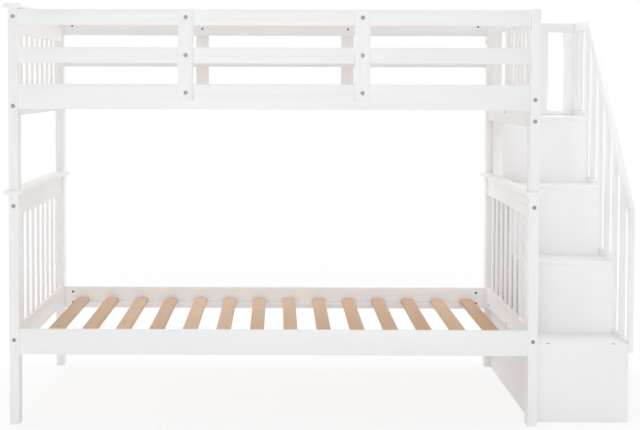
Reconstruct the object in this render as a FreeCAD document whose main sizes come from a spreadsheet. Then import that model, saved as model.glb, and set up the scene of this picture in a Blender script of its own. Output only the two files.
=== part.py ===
import FreeCAD, Part
import Sketcher
import os
import re

# White twin-over-twin bunk bed with a storage staircase at its right end.
# The bed's own frame, used for every formula below: x runs right from the outer face of the left
# posts, y runs back from the front face of the front posts, z runs up from the floor.  The part's
# origin is the middle of its footprint on the floor, so each finished piece is moved there.

doc = FreeCAD.newDocument("bunk_bed_with_storage_stairs")
sheet = doc.addObject("Spreadsheet::Sheet", "Sizes")

# Driving sizes, in millimetres, or counts: cell name, value, what it is.
SIZES = [
    ("bed_long", 2010, "length over the outer faces of the posts"),
    ("bed_deep", 1050, "depth over the front and back faces of the posts"),
    ("post_wide", 35, "post along the bed"),
    ("post_deep", 60, "post across the bed"),
    ("low_post_high", 878, "lower post from the floor"),
    ("post_over_guard", 3, "upper posts above the top of the guards"),
    ("cap_thick", 20, "cap board"),
    ("cap_past_side", 15.5, "cap past each side of the posts"),
    ("cap_past_front", 12, "cap past the front and back of the posts"),
    ("cap_round_top", 8, "rounding of the cap's upper edges"),
    ("cap_round_under", 5, "rounding of the cap's lower edges"),
    ("fit", 0.5, "assembly clearance beside a board"),
    # long rails, guard boards and their cleats
    ("rail_thick", 22, "side rails and guard boards"),
    ("rail_inset", 15, "post face to rail face"),
    ("rail_high", 95, "side rail"),
    ("low_rail_z", 266.5, "underside of the lower side rails"),
    ("up_rail_z", 1204.5, "underside of the upper side rails"),
    ("board_high", 60, "guard board"),
    ("mid_board_drop", 1.25, "middle guard board below the middle of its opening"),
    ("cleat_wide", 57.5, "upright cleat on the guard boards"),
    ("cleat_thick", 20, "cleat"),
    ("cleat_apart", 610.5, "between the two cleats"),
    ("cleat_up", 33, "cleat foot above the rail's underside"),
    # mattress slats and the ledges that carry them
    ("ledge_high", 25, "ledge"),
    ("ledge_deep", 20, "ledge"),
    ("ledge_up", 27.5, "ledge top above the rail's underside"),
    ("ledge_short", 55, "post to the ledge's end, clear of the barrel nuts"),
    ("slat_count", 14, "slats in each bed"),
    ("slat_wide", 56, "slat"),
    ("slat_thick", 18, "slat"),
    ("slat_margin", 59, "post to the first slat"),
    ("slat_gap", 9, "slat end to the side rail"),
    ("slat_round", 8, "corner radius of a slat"),
    # end frames
    ("end_thick", 20, "end rails"),
    ("end_inset", 8, "outer face of the posts to the end rails"),
    ("low_top_rail_high", 82, "top rail of the lower end frames"),
    ("low_foot_rail_z", 280, "underside of the lower end rails"),
    ("low_foot_rail_high", 89, "lower end rail"),
    ("up_end_rail_z", 1180, "underside of the upper left end rail"),
    ("up_end_rail_high", 105, "upper left end rail"),
    ("up_panel_high", 95, "solid top panel of the upper left end"),
    ("access_rail_z", 1139, "underside of the upper right end rail"),
    ("access_rail_high", 129, "upper right end rail"),
    ("spindle_count", 8, "flat spindles in an end frame"),
    ("spindle_wide", 25, "spindle"),
    ("spindle_thick", 9, "spindle"),
    ("tenon", 12, "spindle in its rail"),
    # half guard on the upper right end rail
    ("guard_top", 1583, "top of all the guards"),
    ("half_long", 523, "half guard from the front post"),
    ("half_stile_wide", 35, "stile of the half guard"),
    ("half_foot_high", 40, "bottom rail of the half guard"),
    ("half_top_high", 46, "top rail of the half guard"),
    ("half_count", 5, "flat spindles in the half guard"),
    ("lap_down", 118, "end stile's tongue down the outside of the end rail"),
    # staircase
    ("first_top", 304, "top of the first tread"),
    ("step_rise", 286, "tread to tread"),
    ("step_run", 226, "riser to riser"),
    ("stair_wide", 371, "staircase over its two sides"),
    ("landing_short", 30, "landing's back edge in from the back of the posts"),
    ("tread_thick", 16, "treads, risers and shelves"),
    ("side_thick", 16, "inner side and back panels"),
    ("face_thick", 18, "face frame on the outer side"),
    ("face_stile_wide", 30, "upright of the face frame"),
    ("face_rail_high", 30, "crosspiece of the face frame"),
    # guard on the outer side of the staircase
    ("guard_thick", 18, "balusters, newel and handrail"),
    ("newel_wide", 32, "newel"),
    ("baluster_wide", 30, "baluster"),
    ("baluster_step", 119, "baluster to baluster"),
    ("foot_high", 46, "bottom rail of a guard section"),
    ("first_foot_over", 10, "first bottom rail above its tread"),
    ("foot_over", 23, "other bottom rails above their treads"),
    ("handrail_low", 830, "top of the handrail over the newel's front"),
    ("handrail_turn", 748, "where the handrail turns level, from the front posts' front"),
    ("handrail_wide", 45, "handrail square to its slope"),
    ("guard_rail_high", 42, "level top rails"),
    # guard at the back of the landing
    ("back_guard_thick", 20, "back guard"),
    ("back_foot_high", 22, "bottom rail of the back guard"),
    ("back_stile_wide", 34, "upright of the back guard"),
    ("back_corner_wide", 45, "corner upright of the back guard"),
    # bolts, barrel nuts, dowels and screws
    ("bolt_round", 6, "bolt shank diameter"),
    ("head_round", 14, "bolt head diameter"),
    ("head_thick", 4, "bolt head"),
    ("head_sunk", 0.5, "bolt head below the face"),
    ("head_fit", 1, "radial gap round a bolt head"),
    ("bore_fit", 0.3, "radial gap round a shank, nut or dowel"),
    ("socket_across", 5, "hexagon socket across its flats"),
    ("socket_deep", 2.5, "hexagon socket"),
    ("nut_round", 10, "barrel nut diameter"),
    ("nut_long", 14, "barrel nut"),
    ("nut_set", 38, "post to the barrel nut's middle"),
    ("bolt_past_nut", 8, "bolt end past the barrel nut's middle"),
    ("rail_bolts_apart", 49, "two bolts at each end of a side rail"),
    ("board_bolt_down", 16.5, "top board's bolt below its top edge"),
    ("low_top_bolt_down", 42, "lower top rail's bolts below its top edge"),
    ("low_foot_bolt_up", 44, "lower end rail's bolts above its underside"),
    ("up_rail_bolt_up", 36, "upper left end rail's bolts above its underside"),
    ("up_panel_bolt_down", 31, "upper left panel's bolts below its top edge"),
    ("access_bolt_in", 24, "upper right end rail's bolts in from its edges"),
    ("cleat_foot_bolt_up", 30.5, "lowest cleat bolt above the cleat's foot"),
    ("sleeve_long", 14, "sleeve nut"),
    ("tie_into", 16, "tie bolt into the last piece it holds"),
    ("tie_off_middle", 21, "middle tie bolt in front of mid depth"),
    ("tie_from_post", 62, "back tie bolt in from the back post"),
    ("back_tie_down", 88, "back guard's tie bolt below the top of the guards"),
    ("lap_bolt_up", 36, "bolt above the foot of the end stile's tongue"),
    ("tread_bolt_by_bed", 55, "first tread's bolt from the bed's end"),
    ("tread_bolt_by_guard", 56, "first tread's bolt from the guard"),
    ("tread_bolt_long", 50, "first tread's bolts"),
    ("dowel_round", 10, "dowel diameter"),
    ("dowel_into", 30, "dowel into a post"),
    ("dowel_into_cap", 12, "dowel into the top cap"),
    ("dowel_from_face", 18, "dowel from a post's front and back faces"),
    ("screw_round", 4, "screw shank diameter"),
    ("screw_head_round", 8, "screw head diameter"),
    ("screw_head_thick", 2.5, "screw head"),
    ("screw_long", 32, "screw"),
    ("ledge_screws", 6, "screws along a ledge, each under a slat"),
]

# Sizes that follow from the driving ones.
WORKED_OUT = {
    "right_post_x": "bed_long - post_wide",
    "back_post_y": "bed_deep - post_deep",
    "post_mid": "post_wide / 2",
    "cap_top": "low_post_high + cap_thick",
    "up_post_top": "guard_top + post_over_guard",
    "rail_back": "rail_inset + rail_thick",
    "rail_mid": "rail_inset + rail_thick / 2",
    "top_board_z": "guard_top - board_high",
    "mid_board_z": "(up_rail_z + rail_high + top_board_z - board_high) / 2 - mid_board_drop",
    "cleat_foot_z": "up_rail_z + cleat_up",
    "slat_pitch": "(right_post_x - post_wide - 2 * slat_margin - slat_wide) / (slat_count - 1)",
    "end_right_x": "bed_long - end_inset - end_thick",
    "low_top_rail_z": "low_post_high - low_top_rail_high",
    "up_panel_z": "up_post_top - up_panel_high",
    "access_top": "access_rail_z + access_rail_high",
    "spindle_space": "(back_post_y - post_deep - spindle_count * spindle_wide) / (spindle_count + 1)",
    "spindle_in": "(end_thick - spindle_thick) / 2",
    "half_end": "post_deep + half_long",
    "half_from": "post_deep + half_stile_wide",
    "half_to": "half_end - half_stile_wide",
    "half_space": "(half_to - half_from - half_count * spindle_wide) / (half_count + 1)",
    "stair_x": "bed_long - end_inset",
    "inside_x": "stair_x + side_thick",
    "face_x": "stair_x + stair_wide - face_thick",
    "guard_x": "stair_x + stair_wide",
    "stair_back": "bed_deep - landing_short",
    "level_gap": "first_top - step_rise",
    "guard_rail_z": "guard_top - guard_rail_high",
    "slope_run": "handrail_turn - post_deep",
    "slope_rise": "guard_top - handrail_low",
    "handrail_plumb": "handrail_wide * sqrt(slope_run ^ 2 + slope_rise ^ 2) / slope_run",
    "mitre_y": "handrail_turn + (handrail_plumb - guard_rail_high) * slope_run / slope_rise",
    "handrail_foot": "handrail_low - handrail_plumb",
    "back_guard_y": "stair_back - back_guard_thick",
    "corner_x": "guard_x - back_corner_wide",
    "back_space": "(corner_x - bed_long - 3 * back_stile_wide) / 3",
    "rail_bolt_long": "post_wide + nut_set + bolt_past_nut",
    "end_bolt_long": "post_deep + nut_set + bolt_past_nut",
    "cleat_bolt_long": "cleat_thick + rail_thick - 4",
    "sleeve_y": "rail_thick - sleeve_long",
    "middle_x": "(guard_x + guard_thick - cap_past_side) / 2",
    "middle_y": "bed_deep / 2",
}

for row, (name, size, meaning) in enumerate(SIZES, 1):
    sheet.set("A%d" % row, meaning)
    sheet.set("B%d" % row, str(size))
    sheet.setAlias("B%d" % row, name)
doc.recompute()

X = FreeCAD.Vector(1, 0, 0)
Y = FreeCAD.Vector(0, 1, 0)
Z = FreeCAD.Vector(0, 0, 1)
pieces = {}
cuts = {}
corner_of = {}


def cell(formula):
    """Write a formula out in the sheet's cells."""
    def word(match):
        name = match.group(0)
        if name in WORKED_OUT:
            return "(%s)" % cell(WORKED_OUT[name])
        return name if name == "sqrt" else "Sizes." + name
    return re.sub(r"[a-z][a-z_]+", word, str(formula))


def count(name):
    return int(sheet.get(name))


def put(item, x, y, z):
    """Place an item at a point given by three formulas."""
    corner_of[item.Name] = (x, y, z)
    for axis, formula in zip("xyz", (x, y, z)):
        item.setExpression("Placement.Base." + axis, cell(formula))


def board(name, x, y, z):
    """A board between two planes in each direction; x, y and z are pairs of formulas."""
    item = doc.addObject("Part::Box", name)
    for side, (start, end) in zip(("Length", "Width", "Height"), (x, y, z)):
        item.setExpression(side, cell("(%s) - (%s)" % (end, start)))
    put(item, x[0], y[0], z[0])
    return item


def rod(name, radius, start, end, along=Z):
    """A cylinder on an axis through the origin, from one distance to another along it."""
    item = doc.addObject("Part::Cylinder", name)
    item.setExpression("Radius", cell(radius))
    item.setExpression("Height", cell("(%s) - (%s)" % (end, start)))
    item.Placement.Rotation = FreeCAD.Rotation(Z, along)
    put(item, *[start if part else "0" for part in along])
    return item


def together(name, items):
    group = doc.addObject("Part::Compound", name)
    group.Links = items
    return group


def joined(name, items):
    fuse = doc.addObject("Part::MultiFuse", name)
    fuse.Shapes = items
    return fuse


def less(name, base, tool):
    cut = doc.addObject("Part::Cut", name)
    cut.Base = base
    cut.Tool = tool
    return cut


def rounded(name, base, choose, radius):
    """Round the edges of base that choose picks; radius is a cell's name."""
    doc.recompute()
    size = float(sheet.get(radius))
    fillet = doc.addObject("Part::Fillet", name)
    fillet.Base = base
    fillet.Edges = [(number, size, size) for number, edge in enumerate(base.Shape.Edges, 1) if choose(edge)]
    return fillet


def copy(master, x, y, z, turn=None):
    """Another of the same item, at a point and perhaps turned."""
    link = doc.addObject("App::Link", master.Name + "_copy")
    link.LinkedObject = master
    link.LinkTransform = True
    if turn:
        link.Placement.Rotation = turn
    put(link, x, y, z)
    return link


def outline(name, points, x, thick):
    """A board cut to an outline of (y, z) formulas, from the plane x to x + thick."""
    body = doc.addObject("PartDesign::Body", name)
    sketch = body.newObject("Sketcher::SketchObject", name + "_outline")
    side_plane = [plane for plane in body.Origin.OriginFeatures if plane.Role == "YZ_Plane"][0]
    sketch.AttachmentSupport = [(side_plane, "")]
    sketch.MapMode = "FlatFace"
    spots = [tuple(float(doc.Sizes.evalExpression(cell(part))) for part in point) for point in points]
    last = len(points) - 1
    for number, spot in enumerate(spots):
        end = spots[0 if number == last else number + 1]
        sketch.addGeometry(Part.LineSegment(FreeCAD.Vector(*spot, 0), FreeCAD.Vector(*end, 0)))
    for number in range(len(points)):
        sketch.addConstraint(
            Sketcher.Constraint("Coincident", number, 2, 0 if number == last else number + 1, 1))
    for number, (point, spot) in enumerate(zip(points, spots)):
        for kind, formula, length in zip(("DistanceX", "DistanceY"), point, spot):
            index = sketch.addConstraint(Sketcher.Constraint(kind, -1, 1, number, 1, length))
            sketch.setExpression("Constraints[%d]" % index, cell(formula))
    pad = body.newObject("PartDesign::Pad", name + "_pad")
    pad.Profile = sketch
    pad.setExpression("Length", cell(thick))
    put(body, x, "0", "0")
    return body


def add(name, item):
    """Keep an item as one of the bed's pieces."""
    pieces[name] = item
    cuts[name] = []


def drill(names, bore):
    for name in names:
        cuts[name].append(bore)


def facing(ahead, open_side):
    """The turn that takes a fastener's length to ahead and its nut's open end to open_side."""
    return FreeCAD.Rotation(ahead, open_side.cross(ahead), open_side, "XZY")


# ---------------------------------------------------------------- posts, caps and their dowels
POSTS_X = {"left": "0", "right": "right_post_x"}
POSTS_Y = {"front": "0", "back": "back_post_y"}


def make_posts():
    for end, x in POSTS_X.items():
        for side, y in POSTS_Y.items():
            across = (x, x + " + post_wide")
            deep = (y, y + " + post_deep")
            name = "post_lower_%s_%s" % (side, end)
            add(name, board(name + "_stock", across, deep, ("0", "low_post_high")))
            name = "post_upper_%s_%s" % (side, end)
            add(name, board(name + "_stock", across, deep, ("cap_top", "up_post_top")))


def cap(name, x, z):
    """A cap over a pair of posts, with its long and short edges rounded above and below."""
    stock = board(
        name + "_stock",
        (x + " - cap_past_side", x + " + post_wide + cap_past_side"),
        ("-cap_past_front", "bed_deep + cap_past_front"),
        (z, z + " + cap_thick"))
    doc.recompute()
    top = stock.Shape.BoundBox.ZMax
    under = stock.Shape.BoundBox.ZMin
    eased = rounded(name + "_top", stock, lambda edge: edge.BoundBox.ZMin > top - 0.01, "cap_round_top")
    return rounded(name + "_eased", eased, lambda edge: edge.BoundBox.ZMax < under + 0.01, "cap_round_under")


def make_caps():
    add("cap_lower_left", cap("cap_lower_left", POSTS_X["left"], "low_post_high"))
    add("cap_upper_left", cap("cap_upper_left", POSTS_X["left"], "up_post_top"))
    # the right cap is cut back between the posts to let the staircase's side panel past
    add("cap_lower_right", cap("cap_lower_right", POSTS_X["right"], "low_post_high"))
    beside_panel = board(
        "beside_panel", ("stair_x - fit", "bed_long + 2 * cap_past_side"),
        ("post_deep", "back_post_y"), ("low_post_high - cap_thick", "cap_top + cap_thick"))
    drill(["cap_lower_right"], beside_panel)


def notch_for_cap():
    """The staircase's back panel is notched round the end of the lower right cap."""
    notch = board(
        "round_cap", ("bed_long", "bed_long + cap_past_side + fit"), ("back_post_y", "bed_deep"),
        ("low_post_high - fit", "cap_top + fit"))
    drill(["stair_back"], notch)


def make_dowels():
    """Two dowels join each lower post, its cap and the upper post, and pin the upper left cap."""
    through = rod("through_dowel", "dowel_round / 2", "-dowel_into", "cap_thick + dowel_into")
    through_bore = rod(
        "through_dowel_bore", "dowel_round / 2 + bore_fit", "-dowel_into - fit",
        "cap_thick + dowel_into + fit")
    pin = rod("cap_dowel", "dowel_round / 2", "-dowel_into / 2", "dowel_into_cap")
    pin_bore = rod(
        "cap_dowel_bore", "dowel_round / 2 + bore_fit", "-dowel_into / 2 - fit", "dowel_into_cap + fit")
    dowels = []
    for end, x in POSTS_X.items():
        for side, y in POSTS_Y.items():
            low_post = "post_lower_%s_%s" % (side, end)
            up_post = "post_upper_%s_%s" % (side, end)
            for at_y in (y + " + dowel_from_face", y + " + post_deep - dowel_from_face"):
                spot = (x + " + post_mid", at_y, "low_post_high")
                dowels.append(copy(through, *spot))
                drill([low_post, "cap_lower_" + end, up_post], copy(through_bore, *spot))
                if end == "left":
                    top = (x + " + post_mid", at_y, "up_post_top")
                    dowels.append(copy(pin, *top))
                    drill([up_post, "cap_upper_left"], copy(pin_bore, *top))
    add("dowels", together("dowel_set", dowels))


# ---------------------------------------------------------------- side rails, boards, cleats, slats
def long_board(name, side, z, high):
    """A rail or board between the posts, set in from the front or the back by the same amount."""
    if side == "front":
        deep = ("rail_inset", "rail_back")
    else:
        deep = ("bed_deep - rail_back", "bed_deep - rail_inset")
    add(name, board(name + "_stock", ("post_wide", "right_post_x"), deep, (z, z + " + " + high)))


def make_side_rails():
    for side in ("front", "back"):
        long_board("side_rail_lower_" + side, side, "low_rail_z", "rail_high")
        long_board("side_rail_upper_" + side, side, "up_rail_z", "rail_high")
        long_board("guard_board_middle_" + side, side, "mid_board_z", "board_high")
        long_board("guard_board_top_" + side, side, "top_board_z", "board_high")


CLEATS_X = (
    "bed_long / 2 - cleat_apart / 2 - cleat_wide",
    "bed_long / 2 + cleat_apart / 2",
)


def make_cleats():
    """Two cleats on the outer face of the boards, front and back."""
    cleats = []
    for x in CLEATS_X:
        for y in ("rail_inset - cleat_thick", "bed_deep - rail_inset"):
            cleats.append(board(
                "cleat", (x, x + " + cleat_wide"), (y, y + " + cleat_thick"),
                ("cleat_foot_z", "guard_top")))
    add("cleats", together("cleat_set", cleats))


def make_ledges():
    ledges = []
    for rail_z in ("low_rail_z", "up_rail_z"):
        top = rail_z + " + ledge_up"
        for y in ("rail_back", "bed_deep - rail_back - ledge_deep"):
            ledges.append(board(
                "ledge", ("post_wide + ledge_short", "right_post_x - ledge_short"),
                (y, y + " + ledge_deep"), (top + " - ledge_high", top)))
    add("slat_ledges", together("ledge_set", ledges))


def slat_x(number):
    return "post_wide + slat_margin + %d * slat_pitch" % number


def make_slats():
    stock = board(
        "slat_stock", ("0", "slat_wide"),
        ("0", "bed_deep - 2 * rail_back - 2 * slat_gap"), ("0", "slat_thick"))
    slat = rounded("slat", stock, lambda edge: edge.BoundBox.ZLength > 1, "slat_round")
    for bed, rail_z in (("lower", "low_rail_z"), ("upper", "up_rail_z")):
        slats = []
        for number in range(count("slat_count")):
            slats.append(copy(slat, slat_x(number), "rail_back + slat_gap", rail_z + " + ledge_up"))
        add("bed_slats_" + bed, together("slat_set_" + bed, slats))


# ---------------------------------------------------------------- end frames
def spindles(name, x, z, first, space, number_of, rails):
    """A row of flat spindles, tenoned into the rail below and the rail above."""
    master = board(
        name + "_spindle", ("0", "spindle_thick"), ("0", "spindle_wide"),
        ("0", "%s - (%s) + 2 * tenon" % (z[1], z[0])))
    row = []
    for number in range(count(number_of)):
        y = "%s + %s + %d * (spindle_wide + %s)" % (first, space, number, space)
        row.append(copy(master, x + " + spindle_in", y, z[0] + " - tenon"))
    add(name, together(name + "_set", row))
    for rail in rails:
        cuts[rail].extend(row)


def end_rail(name, x, z, high):
    add(name, board(name + "_stock", (x, x + " + end_thick"), ("post_deep", "back_post_y"),
                    (z, z + " + " + high)))


def make_lower_end(end, x):
    top = "end_lower_%s_top_rail" % end
    foot = "end_lower_%s_foot_rail" % end
    end_rail(top, x, "low_top_rail_z", "low_top_rail_high")
    end_rail(foot, x, "low_foot_rail_z", "low_foot_rail_high")
    spindles("end_lower_%s_spindles" % end, x, ("low_foot_rail_z + low_foot_rail_high", "low_top_rail_z"),
             "post_deep", "spindle_space", "spindle_count", [foot, top])


def make_upper_left_end():
    end_rail("end_upper_left_panel", "end_inset", "up_panel_z", "up_panel_high")
    end_rail("end_upper_left_rail", "end_inset", "up_end_rail_z", "up_end_rail_high")
    spindles("end_upper_left_spindles", "end_inset", ("up_end_rail_z + up_end_rail_high", "up_panel_z"),
             "post_deep", "spindle_space", "spindle_count", ["end_upper_left_rail", "end_upper_left_panel"])


def make_upper_right_end():
    """The end rail, and the half guard on it that leaves the way in from the landing open."""
    across = ("end_right_x", "end_right_x + end_thick")
    end_rail("end_upper_right_rail", "end_right_x", "access_rail_z", "access_rail_high")
    add("half_guard_front_stile", board(
        "half_guard_front_stile_stock", across, ("post_deep", "half_from"), ("access_top", "guard_top")))
    upright = board(
        "end_stile_upright", ("end_right_x", "bed_long"), ("half_to", "half_end"),
        ("access_top", "guard_top"))
    tongue = board(
        "end_stile_tongue", ("stair_x", "bed_long"), ("half_to", "half_end"),
        ("access_top - lap_down", "guard_top"))
    add("half_guard_end_stile", joined("half_guard_end_stile_stock", [upright, tongue]))
    foot = board("half_guard_foot", across, ("half_from", "half_to"),
                 ("access_top", "access_top + half_foot_high"))
    top = board("half_guard_top", across, ("half_from", "half_to"),
                ("guard_top - half_top_high", "guard_top"))
    add("half_guard_rails", together("half_guard_rail_set", [foot, top]))
    spindles("half_guard_spindles", "end_right_x",
             ("access_top + half_foot_high", "guard_top - half_top_high"),
             "half_from", "half_space", "half_count", ["half_guard_rails"])


# ---------------------------------------------------------------- staircase
def riser_y(step):
    """Front face of a riser; the steps are numbered 0 to 3 from the front."""
    return "post_deep + %d * step_run" % step


def column_end(step):
    """Back of a step's column: the next riser, or the back panel."""
    return "back_post_y" if step == LAST_STEP else riser_y(step + 1)


def tread_z(step):
    """Top of a tread; -1 is the bottom board's."""
    return "first_top + %d * step_rise" % step


LAST_STEP = 3
STEPS = range(LAST_STEP + 1)


def make_stair_side():
    """The inner side panel, stepped, level with the top of each tread."""
    front = "post_deep + fit"
    back = "back_post_y - fit"
    points = [(front, "0"), (back, "0"), (back, tread_z(LAST_STEP))]
    for step in reversed(range(1, LAST_STEP + 1)):
        points.append((riser_y(step), tread_z(step)))
        points.append((riser_y(step), tread_z(step - 1)))
    points.append((front, tread_z(0)))
    add("stair_inner_side", outline("stair_inner_side_board", points, "stair_x", "side_thick"))


def make_stair_boards():
    """Risers that run down to the floor as dividers, treads, shelves and the back."""
    inside = ("inside_x", "face_x")
    over = ("inside_x", "guard_x")
    risers = []
    treads = []
    shelves = []
    for step in STEPS:
        y = riser_y(step)
        risers.append(board("riser", over, (y, y + " + tread_thick"),
                            ("0", tread_z(step) + " - tread_thick")))
        if step < LAST_STEP:
            treads.append(board("tread", over, (y, riser_y(step + 1)),
                                (tread_z(step) + " - tread_thick", tread_z(step))))
        for level in range(step + 1):
            top = tread_z(level - 1)
            shelves.append(board("shelf", inside, (y + " + tread_thick", column_end(step)),
                                 (top + " - tread_thick", top)))
    top = tread_z(LAST_STEP)
    add("stair_risers", together("riser_set", risers))
    add("stair_treads", together("tread_set", treads))
    add("stair_shelves", together("shelf_set", shelves))
    add("stair_landing", board("landing_stock", over, (riser_y(LAST_STEP), "stair_back"),
                               (top + " - tread_thick", top)))
    add("stair_back", board("back_stock", ("bed_long + fit", "face_x"),
                            ("back_post_y", "back_post_y + side_thick"), ("0", top + " - tread_thick")))


def make_face_frame():
    """The frame round the open compartments on the outer side, behind the risers' ends."""
    across = ("face_x", "guard_x")
    stiles = []
    rails = []
    for step in STEPS:
        y = riser_y(step) + " + tread_thick"
        under = tread_z(step) + " - tread_thick"
        stiles.append(board("face_stile", across, (y, y + " + face_stile_wide"), ("0", under)))
        deep = (y + " + face_stile_wide", column_end(step))
        rails.append(board("face_foot", across, deep, ("0", "level_gap")))
        rails.append(board("face_head", across, deep, (under + " - face_rail_high", under)))
        for level in range(step):
            top = tread_z(level)
            rails.append(board("face_rail", across, deep, (top + " - face_rail_high", top)))
    stiles.append(board("face_back_stile", across, ("back_post_y", "stair_back"),
                        ("0", tread_z(LAST_STEP) + " - tread_thick")))
    add("stair_face_stiles", together("face_stile_set", stiles))
    add("stair_face_rails", together("face_rail_set", rails))


# ---------------------------------------------------------------- guards of the staircase
def foot_top(section):
    """Top of a guard section's bottom rail."""
    return tread_z(section) + (" + first_foot_over" if section == 0 else " + foot_over")


def baluster_y(number):
    return "post_deep + %d * baluster_step" % number


def make_side_guard():
    """Newel, balusters and bottom rails under a handrail that climbs and then runs level."""
    across = ("guard_x", "guard_x + guard_thick")
    above = outline("above_handrail", [
        ("0", "handrail_foot - post_deep * slope_rise / slope_run"), ("mitre_y", "guard_rail_z"),
        ("bed_deep", "guard_rail_z"), ("bed_deep", "2 * guard_top"), ("0", "2 * guard_top")],
        "guard_x", "guard_thick")
    newel = board("newel_stock", across, ("post_deep", "post_deep + newel_wide"),
                  (foot_top(0) + " - foot_high", "guard_top"))
    add("side_guard_newel", newel)
    balusters = []
    feet = []
    section_start = "post_deep + newel_wide"
    for section in STEPS:
        foot_z = foot_top(section) + " - foot_high"
        middle = baluster_y(2 * section + 1)
        balusters.append(board("baluster", across, (middle, middle + " + baluster_wide"),
                               (foot_top(section), "guard_top")))
        y = "stair_back - baluster_wide" if section == LAST_STEP else baluster_y(2 * section + 2)
        balusters.append(board("section_post", across, (y, y + " + baluster_wide"),
                               (foot_z, "guard_top")))
        feet.append(board("guard_foot", across, (section_start, y), (foot_z, foot_top(section))))
        section_start = y + " + baluster_wide"
    add("side_guard_balusters", together("baluster_set", balusters))
    add("side_guard_foot_rails", together("guard_foot_set", feet))
    drill(["side_guard_newel", "side_guard_balusters"], above)
    add("side_guard_handrail", outline("handrail_board", [
        ("post_deep", "handrail_foot"), ("mitre_y", "guard_rail_z"),
        ("handrail_turn", "guard_top"), ("post_deep", "handrail_low")], "guard_x", "guard_thick"))
    add("side_guard_top_rail", outline("level_rail_board", [
        ("mitre_y", "guard_rail_z"), ("stair_back", "guard_rail_z"),
        ("stair_back", "guard_top"), ("handrail_turn", "guard_top")], "guard_x", "guard_thick"))


def make_back_guard():
    deep = ("back_guard_y", "stair_back")
    landing = tread_z(LAST_STEP)
    along = ("bed_long", "guard_x")
    add("back_guard_foot_rail", board("back_guard_foot_stock", along, deep,
                                      (landing, landing + " + back_foot_high")))
    add("back_guard_top_rail", board("back_guard_top_stock", along, deep, ("guard_rail_z", "guard_top")))
    high = (landing + " + back_foot_high", "guard_rail_z")
    stiles = []
    for number in range(3):
        x = "bed_long + %d * (back_stile_wide + back_space)" % number
        stiles.append(board("back_stile", (x, x + " + back_stile_wide"), deep, high))
    stiles.append(board("back_corner_stile", ("corner_x", "guard_x"), deep, high))
    add("back_guard_stiles", together("back_stile_set", stiles))


# ---------------------------------------------------------------- bolts, nuts and screws
def socket_bolt(name, length):
    """A flat-headed bolt along +x with its head's face at the origin, and the bore that takes it."""
    head = rod(name + "_head", "head_round / 2", "0", "head_thick", X)
    shank = rod(name + "_shank", "bolt_round / 2", "0", length, X)
    socket = doc.addObject("Part::Prism", name + "_socket")
    socket.Polygon = 6
    socket.setExpression("Circumradius", cell("socket_across / sqrt(3)"))
    socket.setExpression("Height", cell("socket_deep"))
    socket.Placement.Rotation = FreeCAD.Rotation(Z, X)
    bolt = less(name, joined(name + "_blank", [head, shank]), socket)
    recess = rod(name + "_recess", "head_round / 2 + head_fit", "-head_thick", "head_thick", X)
    hole = rod(name + "_hole", "bolt_round / 2 + bore_fit", "0", length + " + fit", X)
    return bolt, joined(name + "_bore", [recess, hole])


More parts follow.
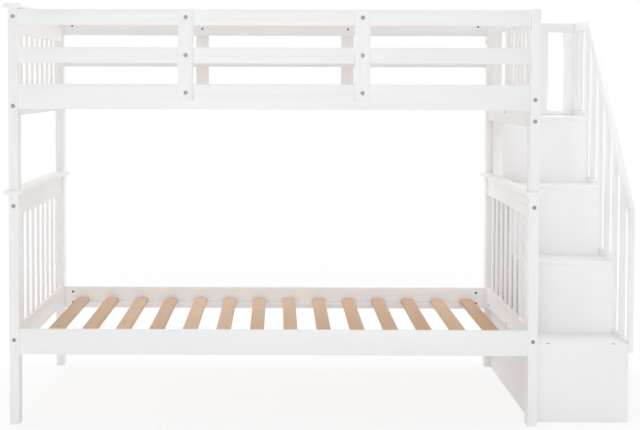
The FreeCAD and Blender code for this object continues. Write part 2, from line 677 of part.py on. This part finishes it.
def make_frame_bolts():
    """Bolts through the posts into barrel nuts in the end rails and in the long boards."""
    end_bolt, end_bore = socket_bolt("end_bolt", "end_bolt_long")
    rail_bolt, rail_bore = socket_bolt("rail_bolt", "rail_bolt_long")
    plug = rod("nut_plug", "nut_round / 2", "-nut_long / 2", "nut_long / 2")
    thread = rod("nut_thread", "bolt_round / 2 + bore_fit / 2", "-nut_round", "nut_round", X)
    nut = less("barrel_nut", plug, thread)
    nut_bore = rod("nut_bore", "nut_round / 2 + bore_fit", "-nut_long / 2", "rail_thick")
    bolts = []
    nuts = []

    def fasten(bolt, bore, head, nut_at, turn, post, rail):
        bolts.append(copy(bolt, *head, turn))
        drill([post, rail], copy(bore, *head, turn))
        nuts.append(copy(nut, *nut_at, turn))
        drill([rail], copy(nut_bore, *nut_at, turn))

    end_rails = {
        "left": [("low_post_high - low_top_bolt_down", "lower", "end_lower_left_top_rail"),
                 ("low_foot_rail_z + low_foot_bolt_up", "lower", "end_lower_left_foot_rail"),
                 ("up_end_rail_z + up_rail_bolt_up", "upper", "end_upper_left_rail"),
                 ("up_post_top - up_panel_bolt_down", "upper", "end_upper_left_panel")],
        "right": [("low_post_high - low_top_bolt_down", "lower", "end_lower_right_top_rail"),
                  ("low_foot_rail_z + low_foot_bolt_up", "lower", "end_lower_right_foot_rail"),
                  ("access_rail_z + access_bolt_in", "upper", "end_upper_right_rail"),
                  ("access_top - access_bolt_in", "upper", "end_upper_right_rail")],
    }
    for end, x in POSTS_X.items():
        inward = X if end == "left" else -X
        for z, level, rail in end_rails[end]:
            for side in POSTS_Y:
                post = "post_%s_%s_%s" % (level, side, end)
                if side == "front":
                    ahead, head_y, nut_y = Y, "head_sunk", "post_deep + nut_set"
                else:
                    ahead, head_y, nut_y = -Y, "bed_deep - head_sunk", "back_post_y - nut_set"
                mid_x = x + " + post_mid"
                fasten(end_bolt, end_bore, (mid_x, head_y, z), (mid_x, nut_y, z),
                       facing(ahead, inward), post, rail)

    long_boards = [
        ("low_rail_z + (rail_high - rail_bolts_apart) / 2", "lower", "side_rail_lower_"),
        ("low_rail_z + (rail_high + rail_bolts_apart) / 2", "lower", "side_rail_lower_"),
        ("up_rail_z + (rail_high - rail_bolts_apart) / 2", "upper", "side_rail_upper_"),
        ("up_rail_z + (rail_high + rail_bolts_apart) / 2", "upper", "side_rail_upper_"),
        ("mid_board_z + board_high / 2", "upper", "guard_board_middle_"),
        ("guard_top - board_bolt_down", "upper", "guard_board_top_"),
    ]
    for side in POSTS_Y:
        inward = Y if side == "front" else -Y
        mid_y = "rail_mid" if side == "front" else "bed_deep - rail_mid"
        for z, level, rail in long_boards:
            for end in POSTS_X:
                post = "post_%s_%s_%s" % (level, side, end)
                if end == "left":
                    ahead, head_x, nut_x = X, "head_sunk", "post_wide + nut_set"
                else:
                    ahead, head_x, nut_x = -X, "bed_long - head_sunk", "right_post_x - nut_set"
                fasten(rail_bolt, rail_bore, (head_x, mid_y, z), (nut_x, mid_y, z),
                       facing(ahead, inward), post, rail + side)
    add("frame_bolts", together("frame_bolt_set", bolts))
    add("barrel_nuts", together("barrel_nut_set", nuts))


def make_cleat_bolts():
    """Bolts through the cleats into sleeve nuts let into the boards from inside."""
    bolt, bore = socket_bolt("cleat_bolt", "cleat_bolt_long")
    barrel = rod("sleeve_barrel", "nut_round / 2", "cleat_thick + sleeve_y", "cleat_thick + rail_thick", X)
    thread = rod("sleeve_thread", "bolt_round / 2 + bore_fit / 2", "0", "2 * cleat_bolt_long", X)
    sleeve = less("sleeve_nut", barrel, thread)
    sleeve_bore = rod("sleeve_bore", "nut_round / 2 + bore_fit", "cleat_thick + sleeve_y",
                      "2 * cleat_thick + rail_thick", X)
    set_of = []
    heights = [
        ("cleat_foot_z + cleat_foot_bolt_up", "side_rail_upper_"),
        ("mid_board_z + board_high / 2", "guard_board_middle_"),
        ("top_board_z + board_high / 2", "guard_board_top_"),
    ]
    for side in POSTS_Y:
        ahead = Y if side == "front" else -Y
        face = "rail_inset - cleat_thick" if side == "front" else "bed_deep - rail_inset + cleat_thick"
        sunk = face + (" + head_sunk" if side == "front" else " - head_sunk")
        for x in CLEATS_X:
            for z, rail in heights:
                mid_x = x + " + cleat_wide / 2"
                turn = facing(ahead, X)
                set_of.append(copy(bolt, mid_x, sunk, z, turn))
                set_of.append(copy(sleeve, mid_x, face, z, turn))
                drill(["cleats", rail + side], copy(bore, mid_x, sunk, z, turn))
                drill([rail + side], copy(sleeve_bore, mid_x, face, z, turn))
    add("cleat_bolts", together("cleat_bolt_set", set_of))


def make_tie_bolts():
    """Bolts that tie the staircase and its guards to the bed, and the first tread to its riser."""
    shelf_tie, shelf_bore = socket_bolt("shelf_tie", "end_thick + side_thick + tie_into")
    post_tie, post_bore = socket_bolt("post_tie", "post_wide + tie_into")
    lap_tie, lap_bore = socket_bolt("lap_tie", "end_thick + end_inset - 2 * head_sunk")
    turn = facing(X, Z)
    ties = []
    shelf_z = "first_top - tread_thick / 2"
    for y in ("bed_deep / 2 - tie_off_middle", "back_post_y - tie_from_post"):
        spot = ("end_right_x + head_sunk", y, shelf_z)
        ties.append(copy(shelf_tie, *spot, turn))
        drill(["end_lower_right_foot_rail", "stair_inner_side", "stair_shelves"],
              copy(shelf_bore, *spot, turn))
    spot = ("right_post_x + head_sunk", "back_guard_y + back_guard_thick / 2",
            "guard_top - back_tie_down")
    ties.append(copy(post_tie, *spot, turn))
    drill(["post_upper_back_right", "back_guard_stiles"], copy(post_bore, *spot, turn))
    spot = ("end_right_x + head_sunk", "half_end - half_stile_wide / 2",
            "access_top - lap_down + lap_bolt_up")
    ties.append(copy(lap_tie, *spot, turn))
    drill(["end_upper_right_rail", "half_guard_end_stile"], copy(lap_bore, *spot, turn))
    tread_tie, tread_bore = socket_bolt("tread_tie", "tread_bolt_long")
    for x in ("bed_long + tread_bolt_by_bed", "guard_x - tread_bolt_by_guard"):
        spot = (x, "post_deep + tread_thick / 2", "first_top - head_sunk")
        ties.append(copy(tread_tie, *spot, facing(-Z, X)))
        drill(["stair_treads", "stair_risers"], copy(tread_bore, *spot, facing(-Z, X)))
    add("tie_bolts", together("tie_bolt_set", ties))


def make_screws():
    """Screws along the ledges, with flush heads, under slats spread evenly from the first to the last."""
    head = rod("screw_head", "screw_head_round / 2", "0", "screw_head_thick", X)
    shank = rod("screw_shank", "screw_round / 2", "0", "screw_long", X)
    screw = joined("screw", [head, shank])
    recess = rod("screw_recess", "screw_head_round / 2 + bore_fit", "-screw_head_thick",
                 "screw_head_thick", X)
    hole = rod("screw_hole", "screw_round / 2 + bore_fit", "0", "screw_long + fit", X)
    bore = joined("screw_bore", [recess, hole])
    screws = []

    def drive(names, spot, turn):
        screws.append(copy(screw, *spot, turn))
        drill(names, copy(bore, *spot, turn))

    last_slat = count("slat_count") - 1
    last_screw = count("ledge_screws") - 1
    for rail_z, level in (("low_rail_z", "lower"), ("up_rail_z", "upper")):
        z = rail_z + " + ledge_up - ledge_high / 2"
        for number in range(count("ledge_screws")):
            x = slat_x(round(number * last_slat / last_screw)) + " + slat_wide / 2"
            drive(["slat_ledges", "side_rail_%s_front" % level], (x, "rail_back + ledge_deep", z),
                  facing(-Y, X))
            drive(["slat_ledges", "side_rail_%s_back" % level],
                  (x, "bed_deep - rail_back - ledge_deep", z), facing(Y, X))
    add("screws", together("screw_set", screws))


# ---------------------------------------------------------------- the whole bed
make_posts()
make_caps()
make_dowels()
make_side_rails()
make_cleats()
make_ledges()
make_slats()
make_lower_end("left", "end_inset")
make_lower_end("right", "end_right_x")
make_upper_left_end()
make_upper_right_end()
make_stair_side()
make_stair_boards()
notch_for_cap()
make_face_frame()
make_side_guard()
make_back_guard()
make_frame_bolts()
make_cleat_bolts()
make_tie_bolts()
make_screws()

finished = {}
for name, item in pieces.items():
    if cuts[name]:
        item = less(name, item, together(name + "_cuts", cuts[name]))
    item.Label = name
    x, y, z = corner_of.get(item.Name, ("0", "0", "0"))
    put(item, x + " - middle_x", y + " - middle_y", z)
    finished[name] = item
doc.recompute()

for item in doc.Objects:
    if "Invalid" in item.State or "Error" in item.State:
        raise RuntimeError("%s did not rebuild: %s" % (item.Label, item.State))
for name, item in finished.items():
    if item.Shape.isNull() or not item.Shape.isValid():
        raise RuntimeError("%s has no sound shape" % name)

os.makedirs("parts", exist_ok=True)
for name, item in finished.items():
    item.Shape.exportStep("parts/%s.step" % name)
    box = item.Shape.BoundBox
    print("%-30s %3d solids  %8.1f %8.1f %8.1f  to %8.1f %8.1f %8.1f" % (
        name, len(item.Shape.Solids), box.XMin, box.YMin, box.ZMin, box.XMax, box.YMax, box.ZMax))
print(len(finished), "pieces")
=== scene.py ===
"""The looks of the bunk bed with storage stairs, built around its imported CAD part.

Metres, in the CAD frame: +X along the bed to the staircase, +Y to the back, +Z up.
"""

import math

import bpy
from mathutils import Matrix, Vector

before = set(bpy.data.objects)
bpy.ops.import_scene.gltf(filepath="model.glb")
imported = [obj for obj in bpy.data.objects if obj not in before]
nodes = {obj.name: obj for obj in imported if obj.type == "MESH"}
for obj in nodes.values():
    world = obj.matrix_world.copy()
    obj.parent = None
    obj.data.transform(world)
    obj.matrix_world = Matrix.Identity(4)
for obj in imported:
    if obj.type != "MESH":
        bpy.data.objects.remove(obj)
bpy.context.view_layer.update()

X, Y, Z = 0, 1, 2

# ---- colours, linear -----------------------------------------------------------------------
WHITE = (1.0, 1.0, 1.0)
PAINT = (0.925, 0.928, 0.934)           # white satin paint
PAINT_THIN = (0.895, 0.894, 0.890)      # the same paint where it is thin, along edges
PINE = (0.668, 0.470, 0.315)            # planed slats
PINE_DEEP = (0.572, 0.364, 0.220)       # their late rings
PINE_WARM = (0.708, 0.448, 0.288)       # their resin patches
KNOT = (0.36, 0.19, 0.095)
BEECH = (0.66, 0.49, 0.32)
STEEL = (0.36, 0.36, 0.365)             # zinc-plated
STEEL_PAINTED_SHADE = (0.085, 0.085, 0.088)         # the same steel made near black: painted shade for the dark recesses the tie bolts and barrel nuts sit in

# ---- eased edges ---------------------------------------------------------------------------
WOOD_EASE, HANDRAIL_EASE, BOARD_EASE = 0.0022, 0.0030, 0.0012
DOWEL_EASE, BOLT_EASE, SCREW_EASE = 0.0008, 0.0004, 0.0002
EASED_ABOVE = math.radians(40.0)        # an edge has to be sharper than this
FLAT_WITHIN = math.radians(0.3)         # faces that differ by less become one
WELDED_WITHIN = 0.00001

# ---- grain ---------------------------------------------------------------------------------
OWN_STEP = (7.3, 5.1, 9.7)              # at most, from one solid's grain to another's
MIDDLE = (0.3, 0.7)                     # where most of a noise's values lie
HANDRAIL_RISE, HANDRAIL_RUN = 0.753, 0.688
HANDRAIL_SLOPE = math.atan2(HANDRAIL_RISE, HANDRAIL_RUN)

# ---- floor and light -----------------------------------------------------------------------
FLOOR_SIZE = 60.0
FLOOR_TONE = (0.97, 0.97, 0.97)
FLOOR_GLOW = 0.78                       # share of plain white in the floor that the camera sees
FLOOR_FADE = (1.5, 4.0)                 # over this distance it turns all white
WORLD_LIGHT = 0.40
LAMPS = (   # name, place, aim, width, height, watts
    ("front", (-0.2, -6.5, 1.2), (-0.2, 0.0, 1.1), 3.0, 1.2, 66.0),
    ("front_high", (-1.2, -5.5, 2.6), (0.0, 0.0, 0.8), 5.0, 3.5, 32.0),
    ("left", (-5.0, 1.0, 1.3), (0.0, 0.3, 0.8), 4.0, 2.4, 88.0),
    ("right", (5.0, -1.5, 2.4), (0.0, 0.0, 0.8), 3.5, 3.0, 32.0),
    ("right_low", (5.0, 1.0, 1.3), (0.0, 0.3, 0.8), 4.0, 2.4, 32.0),
    ("above", (0.3, -0.6, 4.6), (0.0, 0.0, 0.0), 5.0, 4.0, 34.0),
    ("above_back", (0.0, 1.5, 4.4), (0.0, 0.0, 0.8), 5.0, 3.0, 92.0),
    ("back_left", (-11.0, 6.0, 2.2), (0.0, 0.2, 0.9), 6.0, 4.0, 110.0),
    ("back_right", (11.0, 6.0, 2.2), (0.0, 0.2, 0.9), 6.0, 4.0, 180.0),
)

# ---- camera, solved from the straight edges in the photograph ------------------------------
EYE = (-0.16515, -5.190, 1.3048)
TILT, ROLL, TURN = -0.0370, 0.0029, 0.0036
LENS, SENSOR, SHIFT = 69.435, 36.0, (0.0716, -0.1345)
FARTHEST_SEEN = 100.0

# Sockets of a Mix node between colours.
MIX_AMOUNT, MIX_FIRST, MIX_SECOND, MIX_RESULT = 0, 6, 7, 2


# ---- node helpers --------------------------------------------------------------------------
def fill(item, values):
    """Sets a node's inputs: a socket is linked, anything else is its constant."""
    for name, value in values.items():
        socket = item.inputs[name]
        if isinstance(value, bpy.types.NodeSocket):
            item.id_data.links.new(value, socket)
        elif isinstance(value, tuple) and len(value) == 3 and len(socket.default_value) == 4:
            socket.default_value = (*value, 1.0)
        else:
            socket.default_value = value


def add(tree, kind, values=None, **settings):
    """A new shader node with its settings and inputs."""
    item = tree.nodes.new("ShaderNode" + kind)
    for name, value in settings.items():
        setattr(item, name, value)
    fill(item, values or {})
    return item


def noise(tree, place, scale, detail=2.0, rough=0.5, distort=0.0):
    made = add(tree, "TexNoise", {"Vector": place, "Scale": scale, "Detail": detail,
                                  "Roughness": rough, "Distortion": distort})
    return made.outputs["Fac"]


def spread(tree, value, low, high, start=0.0, end=1.0):
    """Maps value from start..end to low..high."""
    made = add(tree, "MapRange", {"Value": value, "From Min": start, "From Max": end,
                                  "To Min": low, "To Max": high})
    return made.outputs["Result"]


def combined(tree, kind, first, second):
    """One number from two, by ADD, MULTIPLY or MAXIMUM."""
    return add(tree, "Math", {0: first, 1: second}, operation=kind).outputs[0]


def moved(tree, place, way, share):
    """A place moved by a share of a way."""
    step = add(tree, "VectorMath", {0: way, "Scale": share}, operation="SCALE").outputs[0]
    return add(tree, "VectorMath", {0: place, 1: step}, operation="ADD").outputs[0]


def blend(tree, amount, first, second):
    """Colour between two colours."""
    made = add(tree, "Mix", {MIX_AMOUNT: amount, MIX_FIRST: first, MIX_SECOND: second},
               data_type="RGBA")
    return made.outputs[MIX_RESULT]


def shaded(colour, share):
    return tuple(part * share for part in colour)


def along(tree, place, grain, stretch, turn=0.0):
    """Coordinates drawn out along the grain."""
    if turn:
        place = add(tree, "Mapping", {"Vector": place, "Rotation": (-turn, 0.0, 0.0)}).outputs[0]
    scale = [1.0, 1.0, 1.0]
    scale[grain] = 1.0 / stretch
    return add(tree, "Mapping", {"Vector": place, "Scale": tuple(scale)}).outputs[0]


def bump(tree, layers):
    """Stacked bumps from (height, strength, depth in metres) layers."""
    normal = None
    for height, strength, depth in layers:
        values = {"Height": height, "Strength": strength, "Distance": depth}
        if normal is not None:
            values["Normal"] = normal
        normal = add(tree, "Bump", values).outputs["Normal"]
    return normal


def blank(name):
    """A new material with its node tree and its shader."""
    made = bpy.data.materials.new(name)
    made.use_nodes = True
    tree = made.node_tree
    return made, tree, tree.nodes["Principled BSDF"]


def shifted(tree):
    """Object coordinates moved by a step of each solid's own, so no two boards match."""
    place = add(tree, "TexCoord").outputs["Object"]
    own = add(tree, "NewGeometry").outputs["Random Per Island"]
    return moved(tree, place, OWN_STEP, own), own


# ---- materials -----------------------------------------------------------------------------
# A noise's scale is about the number of its features to the metre.
def thinned(tree, place, paint, scale, most):
    """Paint that is thin in patches."""
    patches = noise(tree, place, scale, detail=3.0)
    return blend(tree, spread(tree, patches, 0.1, most, 0.35, 0.68), paint, PAINT_THIN)


def painted_wood(name, grain, turn=0.0, edge=False):
    """Satin white paint over softwood: its grain just shows in the surface."""
    made, tree, surface = blank(name)
    place, own = shifted(tree)
    fibre = noise(tree, along(tree, place, grain, 26.0, turn), 210.0, detail=4.0, rough=0.62)
    rings = noise(tree, along(tree, place, grain, 14.0, turn), 34.0, distort=0.6)
    cloud = noise(tree, place, 3.1)
    peel = noise(tree, place, 620.0, detail=1.0)
    uneven = combined(tree, "ADD", spread(tree, cloud, -0.35, 0.35), spread(tree, own, 0.1, 0.55))
    uneven = combined(tree, "ADD", uneven, spread(tree, fibre, -0.14, 0.2, *MIDDLE))
    base = blend(tree, uneven, PAINT, shaded(PAINT, 0.968))
    if edge:
        base = thinned(tree, place, base, 46.0, 1.0)
    gloss = combined(tree, "ADD", spread(tree, fibre, 0.40, 0.47, *MIDDLE),
                     spread(tree, cloud, -0.03, 0.03, *MIDDLE))
    normal = bump(tree, [(rings, 0.22, 0.0006), (fibre, 0.16, 0.0003), (peel, 0.10, 0.00015)])
    fill(surface, {"Base Color": base, "Roughness": gloss, "Normal": normal,
                   "Specular IOR Level": 0.42, "Coat Weight": 0.12, "Coat Roughness": 0.28})
    return made


def painted_board(name, edge=False):
    """The same paint over smooth furniture board: only a fine orange peel."""
    made, tree, surface = blank(name)
    place, own = shifted(tree)
    cloud = noise(tree, place, 2.3)
    peel = noise(tree, place, 260.0, rough=0.55)
    roller = noise(tree, along(tree, place, Z, 3.0), 70.0, detail=3.0, rough=0.6)
    uneven = combined(tree, "ADD", spread(tree, cloud, -0.3, 0.3), spread(tree, own, 0.1, 0.5))
    uneven = combined(tree, "ADD", uneven, spread(tree, roller, -0.08, 0.1, *MIDDLE))
    base = blend(tree, uneven, PAINT, shaded(PAINT, 0.972))
    if edge:
        base = thinned(tree, place, base, 40.0, 0.9)
    gloss = combined(tree, "ADD", spread(tree, roller, 0.36, 0.43, *MIDDLE),
                     spread(tree, cloud, -0.03, 0.03, *MIDDLE))
    normal = bump(tree, [(peel, 0.14, 0.0003), (roller, 0.10, 0.0003)])
    fill(surface, {"Base Color": base, "Roughness": gloss, "Normal": normal,
                   "Specular IOR Level": 0.45, "Coat Weight": 0.15, "Coat Roughness": 0.24})
    return made


def planed_pine(name, edge=False):
    """Bare softwood slats, each with its own rings, tone and a resin patch or two."""
    made, tree, surface = blank(name)
    place, own = shifted(tree)
    drift = add(tree, "TexNoise", {"Vector": place, "Scale": 5.0}).outputs["Color"]
    wander = moved(tree, along(tree, place, Y, 11.0), drift, 0.035)
    rings = add(tree, "TexWave", {"Vector": wander, "Scale": 26.0, "Distortion": 3.2,
                                  "Detail": 3.0, "Detail Scale": 1.6, "Detail Roughness": 0.6},
                wave_type="BANDS", bands_direction="X", wave_profile="SIN").outputs["Fac"]
    fibre = noise(tree, along(tree, place, Y, 30.0), 520.0, detail=4.0, rough=0.65)
    patch = noise(tree, along(tree, place, Y, 1.6), 9.0, distort=0.4)
    base = blend(tree, spread(tree, rings, 0.0, 0.42, 0.25, 1.0), PINE, PINE_DEEP)
    base = blend(tree, spread(tree, fibre, 0.0, 0.26, 0.35, 0.75), base, shaded(PINE_DEEP, 0.78))
    base = blend(tree, spread(tree, patch, 0.0, 0.62, 0.52, 0.74), base, PINE_WARM)
    tone = add(tree, "HueSaturation", {"Color": base, "Hue": spread(tree, own, 0.494, 0.504),
                                       "Saturation": spread(tree, own, 1.05, 0.86),
                                       "Value": spread(tree, own, 0.93, 1.07)}).outputs[0]
    knots = add(tree, "TexVoronoi", {"Vector": along(tree, place, Y, 1.9), "Scale": 4.6},
                feature="F1").outputs["Distance"]
    tone = blend(tree, spread(tree, knots, 0.75, 0.0, 0.018, 0.05), tone, KNOT)
    if edge:
        tone = blend(tree, spread(tree, fibre, 0.25, 0.7), tone, PINE_DEEP)
    normal = bump(tree, [(rings, 0.12, 0.0004), (fibre, 0.32, 0.0004)])
    fill(surface, {"Base Color": tone, "Roughness": spread(tree, rings, 0.62, 0.5),
                   "Normal": normal, "Specular IOR Level": 0.3})
    return made


def turned_beech(name):
    """Bare dowels, with the short dark flecks of beech."""
    made, tree, surface = blank(name)
    place, own = shifted(tree)
    flecks = noise(tree, along(tree, place, Z, 8.0), 420.0, detail=3.0, rough=0.6)
    base = blend(tree, spread(tree, flecks, 0.0, 0.6, 0.35, 0.7), BEECH, shaded(BEECH, 0.74))
    fill(surface, {"Base Color": base, "Roughness": spread(tree, own, 0.5, 0.62),
                   "Normal": bump(tree, [(flecks, 0.3, 0.0002)]), "Specular IOR Level": 0.3})
    return made


def bare_steel(name, tone):
    """Plated fasteners, or the same steel made near black as painted shade of their recesses, a
    little cloudy, with fine turning marks.
    """
    made, tree, surface = blank(name)
    place, own = shifted(tree)
    cloud = noise(tree, place, 190.0, detail=3.0, rough=0.6)
    marks = noise(tree, place, 2400.0, rough=0.7)
    gloss = combined(tree, "ADD", spread(tree, cloud, 0.30, 0.46, *MIDDLE),
                     spread(tree, own, -0.03, 0.03))
    fill(surface, {"Base Color": blend(tree, cloud, tone, shaded(tone, 0.66)), "Metallic": 1.0,
                   "Roughness": gloss, "Normal": bump(tree, [(marks, 0.25, 0.00005)])})
    return made


# Each look is the material of the faces and, where there is a second, of the eased edges.
woods = {grain: (painted_wood("white_paint_" + name, grain),
                 painted_wood("white_paint_edge_" + name, grain, edge=True))
         for grain, name in ((X, "x"), (Y, "y"), (Z, "z"))}
slope = (painted_wood("white_paint_slope", Y, HANDRAIL_SLOPE),
         painted_wood("white_paint_edge_slope", Y, HANDRAIL_SLOPE, edge=True))
board = (painted_board("white_board"), painted_board("white_board_edge", edge=True))
pine = (planed_pine("slat_wood"), planed_pine("slat_wood_edge", edge=True))
beech = (turned_beech("dowel_wood"),)
steel = (bare_steel("steel_fastener", STEEL),)
# near-black steel for the tie bolts and barrel nuts: painted shade of the recesses they sit in
painted_shade_steel = (bare_steel("steel_fastener_painted_shade", STEEL_PAINTED_SHADE),)

# ---- the CAD nodes -------------------------------------------------------------------------
GRAIN_Y = ("cap_", "end_lower_left_top_rail", "end_lower_left_foot_rail",
           "end_lower_right_top_rail", "end_lower_right_foot_rail", "end_upper_left_panel",
           "end_upper_left_rail", "end_upper_right_rail", "half_guard_rails",
           "side_guard_foot_rails", "side_guard_top_rail", "stair_face_rails")
GRAIN_Z = ("post_", "cleats", "end_lower_left_spindles", "end_lower_right_spindles",
           "end_upper_left_spindles", "half_guard_front_stile", "half_guard_end_stile",
           "half_guard_spindles", "side_guard_newel", "side_guard_balusters",
           "back_guard_stiles", "stair_face_stiles")
BOARDS = ("stair_inner_side", "stair_risers", "stair_treads", "stair_landing",
          "stair_shelves", "stair_back")
PLATED_STEELS = ("frame_bolts", "cleat_bolts")
# fasteners given the near-black steel, as painted shade of their recesses
SHADE_PAINTED_STEELS = ("barrel_nuts", "tie_bolts")


def look_of(name):
    """A node's look, with the width and segments of its eased edges."""
    if name in SHADE_PAINTED_STEELS:
        return painted_shade_steel, BOLT_EASE, 1
    if name in PLATED_STEELS:
        return steel, BOLT_EASE, 1
    if name == "screws":
        return steel, SCREW_EASE, 1
    if name == "dowels":
        return beech, DOWEL_EASE, 2
    if name.startswith("bed_slats"):
        return pine, BOARD_EASE, 2
    if name in BOARDS:
        return board, BOARD_EASE, 2
    if name == "side_guard_handrail":
        return slope, HANDRAIL_EASE, 3
    if name.startswith(GRAIN_Y):
        return woods[Y], WOOD_EASE, 3
    if name.startswith(GRAIN_Z):
        return woods[Z], WOOD_EASE, 3
    return woods[X], WOOD_EASE, 3


def finish(item, look, width, segments):
    """A CAD node's material slots and its eased edges."""
    item.data.materials.clear()
    for material in look:
        item.data.materials.append(material)
    for polygon in item.data.polygons:
        polygon.material_index = 0
        polygon.use_smooth = True
    item.modifiers.new("weld", "WELD").merge_threshold = WELDED_WITHIN
    flat = item.modifiers.new("flat", "DECIMATE")
    flat.decimate_type = "DISSOLVE"
    flat.angle_limit = FLAT_WITHIN
    ease = item.modifiers.new("ease", "BEVEL")
    ease.width = width
    ease.segments = segments
    ease.limit_method = "ANGLE"
    ease.angle_limit = EASED_ABOVE
    ease.harden_normals = True
    ease.use_clamp_overlap = True
    if len(look) > 1:
        ease.material = 1


for name, item in nodes.items():
    finish(item, *look_of(name))


# ---- floor, light and camera ---------------------------------------------------------------
def seen_directly(tree):
    """1 for rays from the camera and for those that only mirror or look through."""
    path = add(tree, "LightPath")
    plain = combined(tree, "MAXIMUM", path.outputs["Is Camera Ray"], path.outputs["Is Glossy Ray"])
    return combined(tree, "MAXIMUM", plain, path.outputs["Is Transmission Ray"])


def mix_shaders(tree, share, first, second, output):
    """Sends the second shader's share, over the first, to an output node."""
    mixed = add(tree, "MixShader", {0: share})
    tree.links.new(first.outputs[0], mixed.inputs[1])
    tree.links.new(second.outputs[0], mixed.inputs[2])
    tree.links.new(mixed.outputs[0], tree.nodes[output].inputs["Surface"])


def make_floor():
    mesh = bpy.data.meshes.new("floor")
    half = FLOOR_SIZE / 2
    mesh.from_pydata([(-half, -half, 0), (half, -half, 0), (half, half, 0), (-half, half, 0)],
                     [], [(0, 1, 2, 3)])
    floor = bpy.data.objects.new("floor", mesh)
    bpy.context.scene.collection.objects.link(floor)
    made, tree, surface = blank("floor_white")
    fill(surface, {"Base Color": FLOOR_TONE, "Roughness": 0.8, "Specular IOR Level": 0.1})
    glow = add(tree, "Emission", {"Color": WHITE, "Strength": 1.0})
    away = add(tree, "VectorMath", {0: add(tree, "TexCoord").outputs["Object"]},
               operation="LENGTH").outputs["Value"]
    share = combined(tree, "MULTIPLY", seen_directly(tree),
                     spread(tree, away, FLOOR_GLOW, 1.0, *FLOOR_FADE))
    mix_shaders(tree, share, surface, glow, "Material Output")
    mesh.materials.append(made)


def make_world():
    world = bpy.data.worlds.new("studio")
    bpy.context.scene.world = world
    world.use_nodes = True
    tree = world.node_tree
    light = tree.nodes["Background"]
    fill(light, {"Color": WHITE, "Strength": WORLD_LIGHT})
    seen = add(tree, "Background", {"Color": WHITE, "Strength": 1.0})
    mix_shaders(tree, seen_directly(tree), light, seen, "World Output")


def make_lamps():
    for name, place, aim, width, height, watts in LAMPS:
        lamp = bpy.data.lights.new(name, "AREA")
        lamp.shape = "RECTANGLE"
        lamp.size, lamp.size_y, lamp.energy = width, height, watts
        item = bpy.data.objects.new(name, lamp)
        bpy.context.scene.collection.objects.link(item)
        item.location = place
        item.rotation_euler = (Vector(aim) - Vector(place)).to_track_quat("-Z", "Y").to_euler()


def make_camera():
    lens = bpy.data.cameras.new("photo_view")
    lens.lens, lens.sensor_width, lens.sensor_fit = LENS, SENSOR, "HORIZONTAL"
    lens.shift_x, lens.shift_y = SHIFT
    lens.clip_end = FARTHEST_SEEN
    camera = bpy.data.objects.new("photo_view", lens)
    bpy.context.scene.collection.objects.link(camera)
    camera.matrix_world = (Matrix.Translation(EYE) @ Matrix.Rotation(TURN, 4, "Z")
                           @ Matrix.Rotation(math.pi / 2 + TILT, 4, "X")
                           @ Matrix.Rotation(ROLL, 4, "Z"))
    bpy.context.scene.camera = camera


make_floor()
make_world()
make_lamps()
make_camera()
bpy.context.scene.view_settings.view_transform = "Standard"
